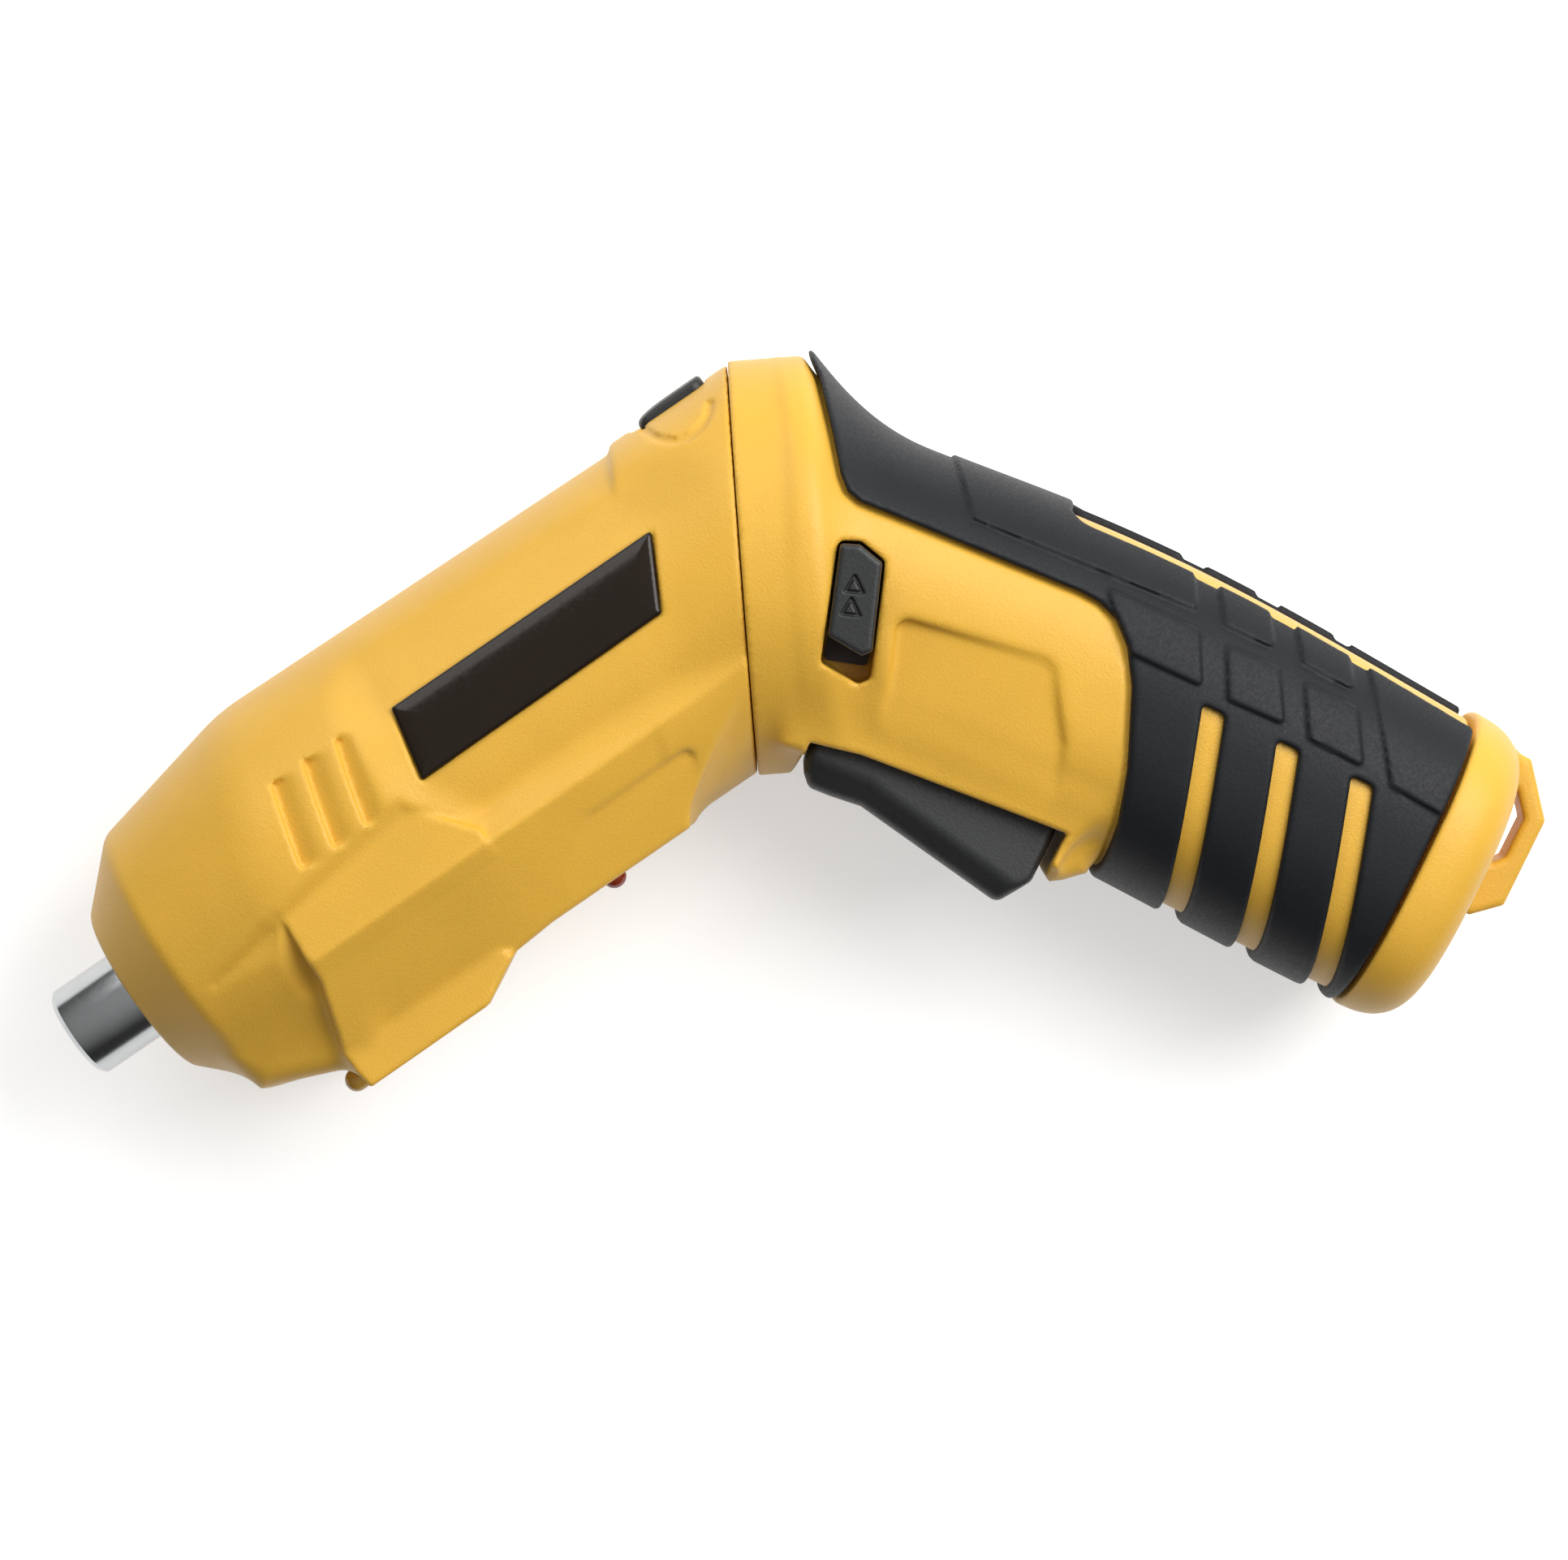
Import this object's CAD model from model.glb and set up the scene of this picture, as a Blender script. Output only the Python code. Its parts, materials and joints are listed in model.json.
"""A cordless screwdriver with a swivel handle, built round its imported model."""

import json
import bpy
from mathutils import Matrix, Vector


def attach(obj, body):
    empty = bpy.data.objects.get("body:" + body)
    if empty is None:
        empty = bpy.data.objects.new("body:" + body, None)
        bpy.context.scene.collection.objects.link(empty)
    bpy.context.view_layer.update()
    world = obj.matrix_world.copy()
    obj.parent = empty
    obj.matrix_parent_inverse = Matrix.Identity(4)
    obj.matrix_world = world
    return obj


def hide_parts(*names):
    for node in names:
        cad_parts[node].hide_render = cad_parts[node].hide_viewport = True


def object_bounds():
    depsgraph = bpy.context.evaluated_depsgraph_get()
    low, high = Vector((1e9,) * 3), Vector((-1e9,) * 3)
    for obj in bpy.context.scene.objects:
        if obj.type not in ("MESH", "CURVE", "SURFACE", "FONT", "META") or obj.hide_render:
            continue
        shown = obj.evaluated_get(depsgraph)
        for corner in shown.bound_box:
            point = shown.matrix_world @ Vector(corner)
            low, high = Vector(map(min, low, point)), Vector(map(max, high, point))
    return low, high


bl_info = {
    "name": "Swivel screwdriver",
    "version": (1, 0, 0),
    "blender": (4, 5, 0),
    "location": "View3D > Sidebar > Screwdriver",
    "description": "Builds the mouldings, finishes and stage of a swivel-handle screwdriver",
    "category": "Object",
}

import bpy
import numpy as np
from math import cos, pi, radians, sin
from mathutils import Matrix, Vector

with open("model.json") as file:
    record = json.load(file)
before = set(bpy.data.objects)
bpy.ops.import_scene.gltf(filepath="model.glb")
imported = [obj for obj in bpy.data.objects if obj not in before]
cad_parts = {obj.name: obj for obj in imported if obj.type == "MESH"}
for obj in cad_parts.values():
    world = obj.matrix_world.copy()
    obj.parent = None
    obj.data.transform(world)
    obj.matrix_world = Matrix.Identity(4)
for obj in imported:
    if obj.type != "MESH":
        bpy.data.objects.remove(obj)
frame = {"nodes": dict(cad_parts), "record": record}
CAD_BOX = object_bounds()
MM = 0.001

# Main sizes of the model, in millimetres. Head frame: x back along the spindle, y up, z left.
# Handle frame: s along the grip from the swivel point, t across it, z left.
SWIVEL = (100.4, 1.2)
TILT = radians(30)
HOUSING_R = 21.7
HOUSING_RISE = 1.2
GRIP_END = 88.5
TAIL_END = 96.8
SHELL_WALL = 2.2
PARTING = 0.03
SEAM_GAP = 0.15
HALF_LAP = 0.4
HOUSING_REACH = 22.6
RUBBER_REACH = 21.5
FLOOR_Z = CAD_BOX[0][2]

# Rounded fields


def soft_max(a, b, r):
    """The greater of two fields, its crease rounded where they differ by less than r."""
    near = np.maximum(r - np.abs(a - b), 0.0)
    return np.maximum(a, b) + near * near / (4.0 * r)


def soft_min(a, b, r):
    """The lesser of two fields, its crease filled where they differ by less than r."""
    return -soft_max(-a, -b, r)


def cut(body, tool, r):
    """A body less a tool, with the rim rounded."""
    return soft_max(body, -tool, r)


def line_distance(x, y, start, end):
    """Distance to a straight run between two points."""
    ex, ey = end[0] - start[0], end[1] - start[1]
    along = ((x - start[0]) * ex + (y - start[1]) * ey) / (ex * ex + ey * ey)
    along = np.clip(along, 0.0, 1.0)
    return np.hypot(x - start[0] - along * ex, y - start[1] - along * ey)


def outline(x, y, points):
    """Distance to a closed outline, below nought inside: the nearest run, signed by crossings."""
    nearest = np.inf
    inside = np.zeros(np.broadcast(x, y).shape, bool)
    for start, end in zip(points, points[1:] + points[:1]):
        nearest = np.minimum(nearest, line_distance(x, y, start, end))
        rise = end[1] - start[1]
        if rise:
            reach = start[0] + (y - start[1]) * (end[0] - start[0]) / rise
            inside ^= ((start[1] > y) != (end[1] > y)) & (x < reach)
    return np.where(inside, -nearest, nearest)


def eased(x, y, points, r):
    """An outline with its corners rounded: drawn in by r along its sides, then grown by r."""
    corners = np.array(points, float)
    ahead = np.roll(corners, -1, axis=0) - corners
    area = np.sum(corners[:, 0] * ahead[:, 1] - corners[:, 1] * ahead[:, 0])
    normal = np.stack([-ahead[:, 1], ahead[:, 0]], axis=1)
    normal *= np.sign(area) / np.linalg.norm(ahead, axis=1, keepdims=True)
    before = np.roll(normal, 1, axis=0)
    drawn = corners + r * (normal + before) / (1.0 + np.sum(normal * before, axis=1, keepdims=True))
    return outline(x, y, drawn.tolist()) - r


def rounded_box(x, y, half_x, half_y, r):
    """Distance to a rectangle with rounded corners about the origin."""
    qx = np.abs(x) - half_x + r
    qy = np.abs(y) - half_y + r
    outside = np.hypot(np.maximum(qx, 0.0), np.maximum(qy, 0.0))
    return outside + np.minimum(np.maximum(qx, qy), 0.0) - r


def curve_through(knots, degree):
    """A polynomial through knots given as (place, value), as a function of place."""
    places, values = zip(*knots)
    terms = np.polyfit(places, values, degree)
    low, high = places[0], places[-1]
    return lambda place: np.polyval(terms, np.clip(place, low, high))


# Surfaces

CORNERS = [(i, j, k) for i in (0, 1) for j in (0, 1) for k in (0, 1)]
CELL_EDGES = [
    (a, b) for a in CORNERS for b in CORNERS if a < b and sum(np.abs(np.subtract(a, b))) == 1
]
# Drawing points on to a surface: rounds, step and longest move in cells, least squared slope
DRAW_ROUNDS = 4
DRAW_STEP = 0.05
DRAW_REACH = 0.7
LEAST_SLOPE = 0.05


def wrapped(field, low, high, cell):
    """Quads round the region where a field is below nought.

    The box is divided into cells. A cell whose corners differ in sign gets one point, the mean of
    the crossings on its edges, and each edge that crosses gets the quad of the four cells round
    it. Every point is then drawn on to the surface along the field's slope.
    """
    axes = [np.arange(a - 2 * cell, b + 3 * cell, cell) for a, b in zip(low, high)]
    shape = tuple(len(axis) for axis in axes)
    value = field(*np.meshgrid(*axes, indexing="ij", sparse=True))
    value = np.array(np.broadcast_to(value, shape))
    inside = value < 0.0
    trimmed = tuple(n - 1 for n in shape)

    def corner(array, at):
        return array[tuple(slice(o, o + n) for o, n in zip(at, trimmed))]

    filled = sum(corner(inside, at).astype(np.int8) for at in CORNERS)
    active = (filled > 0) & (filled < 8)
    number = np.full(trimmed, -1)
    number[active] = np.arange(active.sum())
    points = np.zeros((active.sum(), 3))
    weight = np.zeros(active.sum())
    for a, b in CELL_EDGES:
        va, vb = corner(value, a)[active], corner(value, b)[active]
        crosses = (va < 0.0) != (vb < 0.0)
        share = np.where(crosses, va / np.where(crosses, va - vb, 1.0), 0.0)
        for axis in range(3):
            points[:, axis] += crosses * (a[axis] + share * (b[axis] - a[axis]))
        weight += crosses
    points = points / weight[:, None] + np.argwhere(active)
    points = points * cell + np.array([axis[0] for axis in axes])

    quads = []
    for axis in range(3):
        second, third = (axis + 1) % 3, (axis + 2) % 3
        first = np.moveaxis(inside, (axis, second, third), (0, 1, 2))
        cells = np.moveaxis(number, (axis, second, third), (0, 1, 2))
        change = first[:-1, 1:-1, 1:-1] != first[1:, 1:-1, 1:-1]
        i, j, k = np.nonzero(change)
        ring = [cells[i, j, k], cells[i, j + 1, k], cells[i, j + 1, k + 1], cells[i, j, k + 1]]
        ring = np.stack(ring, axis=1)
        outward = first[:-1, 1:-1, 1:-1][change]
        quads.append(np.where(outward[:, None], ring, ring[:, ::-1]))
    step = DRAW_STEP * cell
    for _ in range(DRAW_ROUNDS):
        x, y, z = points.T
        height = field(x, y, z)
        slope = np.stack(
            [
                field(x + step, y, z) - field(x - step, y, z),
                field(x, y + step, z) - field(x, y - step, z),
                field(x, y, z + step) - field(x, y, z - step),
            ],
            axis=1,
        ) / (2 * step)
        move = slope * (height / np.maximum((slope**2).sum(axis=1), LEAST_SLOPE))[:, None]
        length = np.linalg.norm(move, axis=1, keepdims=True)
        points = points - move * np.minimum(1.0, DRAW_REACH * cell / np.maximum(length, 1e-9))
    return points, np.concatenate(quads)


def handle_place(points):
    """Points of the handle frame in the head frame."""
    s, t, z = points.T
    bend = 2 * TILT
    x = SWIVEL[0] + s * cos(bend) + t * sin(bend)
    y = SWIVEL[1] - s * sin(bend) + t * cos(bend)
    return np.stack([x, y, z], axis=1)


def lathe(rings, steps):
    """A closed skin through rings given as (place, function of the angle that gives the radius)."""
    angle = np.arange(steps) * 2 * pi / steps
    place = np.repeat([ring[0] for ring in rings], steps)
    radius = np.concatenate([np.broadcast_to(ring[1](angle), steps) for ring in rings])
    turn = np.tile(angle, len(rings))
    points = np.stack([place, radius * np.cos(turn), radius * np.sin(turn)], axis=1)
    row = np.arange(len(rings) - 1)[:, None] * steps
    here = np.arange(steps)[None, :]
    after = (here + 1) % steps
    quads = np.stack([row + here, row + steps + here, row + steps + after, row + after], axis=-1)
    return points, quads.reshape(-1, 4)


def add_piece(name, points, faces, body, slot, nodes=(), flat_angle=None):
    """Puts points in millimetres and faces into a mesh that rides on a body."""
    mesh = bpy.data.meshes.new(name)
    mesh.from_pydata(points * MM, [], faces)
    mesh.validate()
    mesh.polygons.foreach_set("use_smooth", np.ones(len(mesh.polygons), bool))
    if flat_angle:
        mesh.set_sharp_from_angle(angle=radians(flat_angle))
    mesh.materials.append(finishes()[slot])
    piece = bpy.data.objects.new(name, mesh)
    bpy.context.scene.collection.objects.link(piece)
    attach(piece, body)
    if nodes:
        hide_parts(*nodes)


def mould(name, field, box, cell, body, slot, nodes=(), place=None):
    """A piece wrapped round a field, in the head frame or put in place from another one."""
    points, faces = wrapped(field, *box, cell)
    if place:
        points = place(points)
    add_piece(name, points, faces, body, slot, nodes)


def shell_half(body, z, side):
    """One half of a hollow moulding: skin and a wall behind it, with the parting edge broken."""
    return soft_max(soft_max(body, -body - SHELL_WALL, 0.3), PARTING - side * z, 0.3)


def halves(reach):
    """Label, side, lowest and highest z of the left and the right half of a moulding."""
    return (("left", 1, -HALF_LAP, reach), ("right", -1, -reach, HALF_LAP))


def with_wells(body, x, y, z, wells):
    """A right half with a round well for each screw."""
    for well_x, well_y, skin in wells:
        well = np.hypot(x - well_x, y - well_y) - WELL_R
        body = cut(body, soft_max(well, z + skin - WELL_DEPTH, 0.2), 0.4)
    return body


# Head housing

LOWER_SIDES = [(-6.0, 20.2), (-8.2, 22.1), (-25.9, 13.2)]
LOWER_OUTLINE = [
    (32.9, -5.4), (32.4, -8.0), (28.3, -19.8), (28.2, -22.5), (28.7, -25.0), (45.9, -24.7),
    (52.0, -21.3), (58.0, -20.8), (77.9, -20.8), (79.4, -18.8), (97.0, -5.4),
]
CHIN_SIDES = [(-14.0, 15.4), (-25.0, 17.0)]
CHIN_OUTLINE = [
    (30.4, -14.0), (28.3, -19.8), (28.2, -22.5), (28.7, -25.0), (45.9, -24.7), (52.0, -21.3),
    (46.5, -14.0),
]
CHEEK_SIDES = [(0.8, 20.4), (-8.2, 22.1), (-11.2, 20.2)]
CHEEK_OUTLINE = [
    (31.9, -2.4), (51.2, 0.8), (53.4, -1.3), (57.7, -6.4), (57.7, -10.2), (31.5, -10.2),
]
UNDER_NOSE = [(16.8, -17.7), (29.2, -22.6), (33.1, -22.6), (33.1, -13.0), (16.8, -13.0)]
PANEL_OUTLINE = [(53.5, 16.4), (90.5, 16.4), (92.0, 13.0), (88.0, -6.4), (58.5, -6.4), (54.0, 0.5)]
PANEL_R = 20.1
FINGER_OUTLINE = [(58.5, -22.5), (67.0, -14.0), (69.0, -12.5), (84.0, -12.5), (78.9, -22.5)]
HEAD_WELLS = [(30.0, 12.0, 18.0), (47.0, -16.0, 19.4), (80.0, -14.0, 20.1), (66.0, 16.0, 15.2)]
WELL_R = 3.1
WELL_DEPTH = 4.0
LOCK_X = 104.6
MARK_AT = (104.9, 22.8)
MARK_R = 4.75
MARK_FROM = radians(-168)
MARK_TO = radians(-38)
MARK_HALF = 0.45
MARK_DEEP = 0.35
POCKET_AHEAD = 0.6
POCKET_HALF = (5.55, 4.3)
POCKET_FLOOR = 18.2
BORE_R = 6.35
BORE_END = 12.0
# Nose: place and radius of its face and its rim, the bevel between them, the flare behind them
NOSE_FACE = (10.0, 11.25)
NOSE_RIM = (17.2, 18.3)
BEVEL_RISE = 7.05
BEVEL_RUN = 7.2
BEVEL_LENGTH = 10.08
FLARE_SLOPE = 0.229
FLARE_LENGTH = 1.026
# Barrel: where its taper starts, what it loses by the collar, and the collar's front
TAPER_FROM = 37.29
TAPER = 0.9
COLLAR_AT = (95.33, 22.9)
COLLAR_LEAN = radians(21.5)
# Valley round the cheeks and the crease that leads to it
CREASE = ((20.5, -4.0), (32.0, -2.4))
CREASE_LIFT = 0.25
VALLEY_LEAST = -2.0
VALLEY_CLIMB = 0.38
VALLEY_DEEP = 0.75
VALLEY_FROM = 20.0
VALLEY_RUN = 9.0
# Side panel, wedge under the nose, and the lower housing that wanes towards the swivel
PANEL_SLOW_FROM = 86.0
PANEL_CLIMB = 0.28
PANEL_EDGE = 1.6
WEDGE_FROM = 17.0
WEDGE_HALF = 12.0
WEDGE_FLARE = 0.25
WANE_FROM = 58.0
WANE = 0.1
# Three grooves, and the ridge over the finger recess as height and half width
GROOVES = 3
GROOVE_FROM = 38.6
GROOVE_PITCH = 4.6
GROOVE_DEEP = 1.05
GROOVE_CLIMB = 0.36
GROOVE_HALF = 5.6
GROOVE_LEAN = radians(16)
GROOVE_SLANT = radians(13)
RIDGE_AT = (-8.2, 22.2)
RIDGE_LEAN = radians(20)
RECESS_DEEP = 0.9


def swivel_reach(x, y):
    """How far a point lies beyond the swivel's seam, along the swivel axis."""
    return (x - SWIVEL[0]) * cos(TILT) - (y - SWIVEL[1]) * sin(TILT)


def section_field(y, z, sides, r):
    """A section as wide as its sides, given as (height, half width) from the top down."""
    wide = np.abs(z)
    field = soft_max(y - sides[0][0], sides[-1][0] - y, r)
    for (y0, z0), (y1, z1) in zip(sides, sides[1:]):
        slope = ((wide - z0) * (y0 - y1) + (y - y0) * (z1 - z0)) / np.hypot(y0 - y1, z1 - z0)
        field = soft_max(field, slope, r)
    return field


def head_field(x, y, z):
    """The head: a nose of revolution and a tapered barrel, with collar, cheeks, chin and cuts."""
    wide = np.abs(z)
    spread = np.hypot(y, z)
    barrel = np.hypot(y - HOUSING_RISE, z)
    bevel = -BEVEL_RISE * (x - NOSE_FACE[0]) + BEVEL_RUN * (spread - NOSE_FACE[1])
    nose = soft_max(NOSE_FACE[0] - x, bevel / BEVEL_LENGTH, 0.5)
    flare = NOSE_RIM[1] + FLARE_SLOPE * (x - NOSE_RIM[0])
    nose = soft_max(nose, (spread - flare) / FLARE_LENGTH, 0.5)
    wall = HOUSING_R - TAPER * (x - TAPER_FROM) / (COLLAR_AT[0] - TAPER_FROM)
    body = soft_max(nose, barrel - wall, 0.7)
    # A valley that sets off the cheeks, and a crease that runs into it from the nose
    crease = line_distance(x, y, *CREASE) + CREASE_LIFT
    valley = np.maximum(np.minimum(outline(x, y, CHEEK_OUTLINE), crease), VALLEY_LEAST)
    deep = VALLEY_DEEP * np.clip((x - VALLEY_FROM) / VALLEY_RUN, 0.0, 1.0)
    body = cut(body, np.minimum(wall, flare) - deep + VALLEY_CLIMB * valley - barrel, 0.25)
    # The collar that ends at the swivel
    collar_front = -(x - COLLAR_AT[0]) * cos(COLLAR_LEAN) + (y - COLLAR_AT[1]) * sin(COLLAR_LEAN)
    collar = barrel - HOUSING_R
    body = soft_min(body, soft_max(collar, collar_front, 0.8), 0.8)
    # Side panel: a floor that climbs gently to the skin, slowest towards the swivel
    slowed = x - 0.5 * np.maximum(x - PANEL_SLOW_FROM, 0.0)
    panel = eased(slowed, y, PANEL_OUTLINE, 3.0) + PANEL_EDGE
    climb = soft_max(PANEL_CLIMB * panel, 0.0, 0.4)
    body = cut(body, PANEL_R + climb - barrel, 0.35)
    # Lower housing, cheeks and the wedge under the nose
    wedge_side = wide - WEDGE_HALF - WEDGE_FLARE * (x - WEDGE_FROM)
    wedge = soft_max(outline(x, y, UNDER_NOSE), wedge_side, 3.0)
    body = soft_min(body, wedge, 4.0)
    waned = wide + soft_max(WANE * (x - WANE_FROM), 0.0, 0.5)
    for sides, edge, across, fillet in (
        (LOWER_SIDES, LOWER_OUTLINE, waned, 2.5),
        (CHIN_SIDES, CHIN_OUTLINE, wide, 0.4),
        (CHEEK_SIDES, CHEEK_OUTLINE, wide, 0.5),
    ):
        block = soft_max(section_field(y, across, sides, 0.35), outline(x, y, edge), 0.6)
        body = soft_min(body, block, fillet)
    # Slanted grooves with a steep front wall and a floor that climbs back to the skin
    across = (y - HOUSING_RISE) * cos(GROOVE_LEAN) - wide * sin(GROOVE_LEAN)
    for step in range(GROOVES):
        behind = x - GROOVE_FROM - GROOVE_PITCH * step
        back = behind * cos(GROOVE_SLANT) - across * sin(GROOVE_SLANT)
        down = behind * sin(GROOVE_SLANT) + across * cos(GROOVE_SLANT)
        groove = soft_max(-back, wall - GROOVE_DEEP + GROOVE_CLIMB * back - barrel, 0.3)
        groove = soft_max(groove, 0.7 * (np.abs(down) - GROOVE_HALF), 0.4)
        body = cut(body, groove, 0.3)
    # Finger recess under the ridge
    ridge = (waned - RIDGE_AT[1]) * cos(RIDGE_LEAN) - (y - RIDGE_AT[0]) * sin(RIDGE_LEAN)
    recess = soft_max(0.7 * eased(x, y, FINGER_OUTLINE, 1.0), -ridge - RECESS_DEEP, 0.4)
    body = cut(body, recess, 0.5)
    # A curved mark beside the lock button, and the button's pocket
    turn = np.clip(np.arctan2(y - MARK_AT[1], x - MARK_AT[0]), MARK_FROM, MARK_TO)
    mark_x = x - MARK_AT[0] - MARK_R * np.cos(turn)
    mark_y = y - MARK_AT[1] - MARK_R * np.sin(turn)
    mark = soft_max(np.hypot(mark_x, mark_y) - MARK_HALF, -collar - MARK_DEEP, 0.2)
    body = cut(body, mark, 0.2)
    pocket = rounded_box(x - LOCK_X + POCKET_AHEAD, z, *POCKET_HALF, 1.7)
    body = cut(body, soft_max(pocket, POCKET_FLOOR - y, 0.3), 0.25)
    # Bore for the spindle
    body = cut(body, soft_max(spread - BORE_R, x - BORE_END, 0.2), 0.4)
    return soft_max(body, swivel_reach(x, y), 0.3)


def head_half(side):
    """One half of the head: screw wells in the right one, the badge's seat in the left one."""

    def field(x, y, z):
        body = head_field(x, y, z)
        if side < 0:
            body = with_wells(body, x, y, z, HEAD_WELLS)
        else:
            seat = soft_max(badge_outline(x, y, z), BADGE_SEAT - badge_height(y, z), 0.2)
            body = cut(body, seat, 0.3)
        return shell_half(body, z, side)

    return field


# Badge: a plain plate on a seat that leans with the panel

BADGE_LEAN = radians(16)
BADGE_SEAT = 19.4
BADGE_OUTLINE = [(54.9, -4.8), (56.6, 5.1), (94.7, 5.1), (90.0, -4.4)]
BADGE_GAP = 0.15
BADGE_PILLOW = 0.35
BADGE_EASE = 1.2
BADGE_LIFT = 0.02
LOCK_HALF = (4.75, 4.0)
LOCK_FRONT = 5.3
LOCK_EASE = 1.3
LOCK_SUNK = 0.1
LOCK_BOTTOM = 21.1


def badge_height(y, z):
    """Height above the barrel's axis, square to the seat."""
    return (y - HOUSING_RISE) * sin(BADGE_LEAN) + z * cos(BADGE_LEAN)


def badge_outline(x, y, z):
    """Distance to the plate's outline, measured along the seat."""
    across = (y - HOUSING_RISE) * cos(BADGE_LEAN) - z * sin(BADGE_LEAN)
    return eased(x, across, BADGE_OUTLINE, 0.5)


def badge(rise):
    """A thin plate with a pillowed top, a hair smaller than its seat."""

    def field(x, y, z):
        edge = badge_outline(x, y, z) + BADGE_GAP
        swell = 1.0 - np.exp(np.minimum(edge, 0.0) / BADGE_EASE)
        crown = BADGE_SEAT + rise + BADGE_PILLOW * swell
        plate = soft_max(edge, badge_height(y, z) - crown, 0.5)
        return soft_max(plate, BADGE_SEAT + BADGE_LIFT - badge_height(y, z), 0.1)

    return field


def lock_button(rise):
    """A smooth pad that swells out of the skin at its front and ends in a step at the swivel."""

    def field(x, y, z):
        swell = 1.0 - np.exp(-np.maximum(x - LOCK_X + LOCK_FRONT, 0.0) / LOCK_EASE)
        proud = rise * swell - LOCK_SUNK
        skin = np.hypot(y - HOUSING_RISE, z) - HOUSING_R
        pad = soft_max(rounded_box(x - LOCK_X, z, *LOCK_HALF, 1.5), skin - proud, 0.6)
        return soft_max(pad, LOCK_BOTTOM - y, 0.3)

    return field


# Handle, rubber and tail cap

grip_top = curve_through(
    [
        (-4, 22.4), (9.3, 22.0), (17, 22.2), (29.4, 23.4), (48, 24.2), (58, 24.0), (68, 23.4),
        (86, 22.2), (97, 21.4),
    ],
    5,
)
grip_bottom = curve_through(
    [
        (10, -15.2), (22, -14.6), (35, -14.0), (50, -14.0), (62, -14.6), (75, -15.0), (86, -15.1),
        (97, -14.8),
    ],
    4,
)
grip_half = curve_through(
    [(-4, 20.6), (10, 19.6), (20, 18.7), (32, 18.3), (50, 18.3), (70, 18.3), (97, 17.3)], 5
)
RUBBER_OUTLINE = [
    (-9.2, 32.0), (-3.6, 26.6), (-1.7, 25.0), (2.6, 19.6), (5.6, 15.6), (7.2, 14.1), (9.2, 13.6),
    (13.4, 13.9), (37.5, 15.35), (40.2, 15.2), (42.8, 14.2), (45.3, 11.9), (47.8, 7.9),
    (51.6, -1.0), (53.7, -7.6), (54.6, -12.8), (54.8, -25.0), (GRIP_END, -25.0), (GRIP_END, 32.0),
]
TILES = [
    [(14.5, 27.0), (22.2, 17.8), (51.3, 19.6), (49.7, 22.8), (47.5, 27.0)],
    [(40.0, 17.4), (52.3, 17.6), (55.4, 11.6), (45.9, 11.5)],
    [(50.6, 27.0), (54.9, 19.4), (61.6, 19.5), (57.7, 27.0)],
    [(56.0, 17.4), (62.9, 17.7), (66.2, 11.8), (58.9, 11.5)],
    [(60.7, 27.0), (65.4, 19.4), (72.5, 19.1), (68.5, 27.0)],
    [(66.3, 17.5), (73.5, 17.4), (77.0, 11.3), (69.6, 11.6)],
    [(70.2, 27.0), (81.0, 10.7), (92.0, 10.0), (92.0, 27.0)],
]
RUBBER_THICK = 1.08
RUBBER_ROOT = 0.5
RUBBER_GAP = 0.1
TILE_EDGE = 0.45
SPINE_FROM = 33.0
SPINE_REACH = 40.0
SPINE_Z = 2.3
SPINE_HALF = 8.4
SLOTS = 3
SLOT_TOP = (57.9, 9.7)
SLOT_SLANT = 0.305
SLOT_PITCH = 9.9
SLOT_HALF = 1.4
SLOT_REACH = 20.0
TRIGGER_RELIEF = [
    (18.0, -30.0), (18.0, -20.0), (17.0, -18.7), (16.35, -15.6), (16.35, -14.9), (22.6, -13.6),
    (49.0, -11.4), (49.0, -30.0),
]
TRIGGER_LIP = [
    (49.0, -11.0), (49.0, -16.9), (49.9, -17.8), (51.4, -16.8), (53.6, -14.9), (53.6, -11.0),
]
FLANGE = [(14.0, -9.0), (50.0, -8.0), (50.0, -16.0), (14.0, -16.0)]
FLANGE_HALF = 14.4
LIP_HALF = 11.8
OPENING_AT = (32.65, -19.0)
OPENING_HALF = (16.35, 12.4)
SCOOP = [(19.0, 3.4), (37.3, 6.3), (38.7, 5.7), (43.6, -1.7), (45.5, -9.0), (23.5, -9.0)]
SCOOP_FLOOR = 17.0
SCOOP_LEAN = 0.12
BEAD_HALF = 0.45
BEAD_DEEP = 0.35
SLIDER_OUTLINE = [(9.1, 8.3), (11.3, 9.2), (14.6, 8.4), (18.1, -1.6), (17.2, -2.6), (12.5, -2.2)]
SLIDER_SLOT = [(8.75, 8.5), (11.2, 9.6), (14.9, 8.7), (19.45, -4.7), (18.45, -6.0), (13.15, -5.5)]
SLIDER_SLOT_FLOOR = 11.0
HANDLE_WELLS = [(24.0, 10.5, 17.6), (47.6, -2.6, 17.4), (84.0, -8.0, 15.0)]
# Section of the grip, and the collar: its scale, the slope of its back and where that starts
GRIP_POWER = 2.45
GRIP_FROM = 8.5
COLLAR_SCALE = 23.0
COLLAR_SLOPE = 1.3
COLLAR_LENGTH = 1.64
COLLAR_BACK = 9.6
COLLAR_GROWTH = (0.4, 0.2)


def grip_field(s, t, z):
    """The grip: a rounded section whose top, bottom and width run smoothly along it."""
    top, bottom, half = grip_top(s), grip_bottom(s), grip_half(s)
    high = (top - bottom) / 2
    up = np.abs(t - (top + bottom) / 2) / high
    side = np.abs(z) / half
    section = (up**GRIP_POWER + side**GRIP_POWER) ** (1 / GRIP_POWER)
    return (section - 1.0) * np.minimum(high, half)


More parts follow.
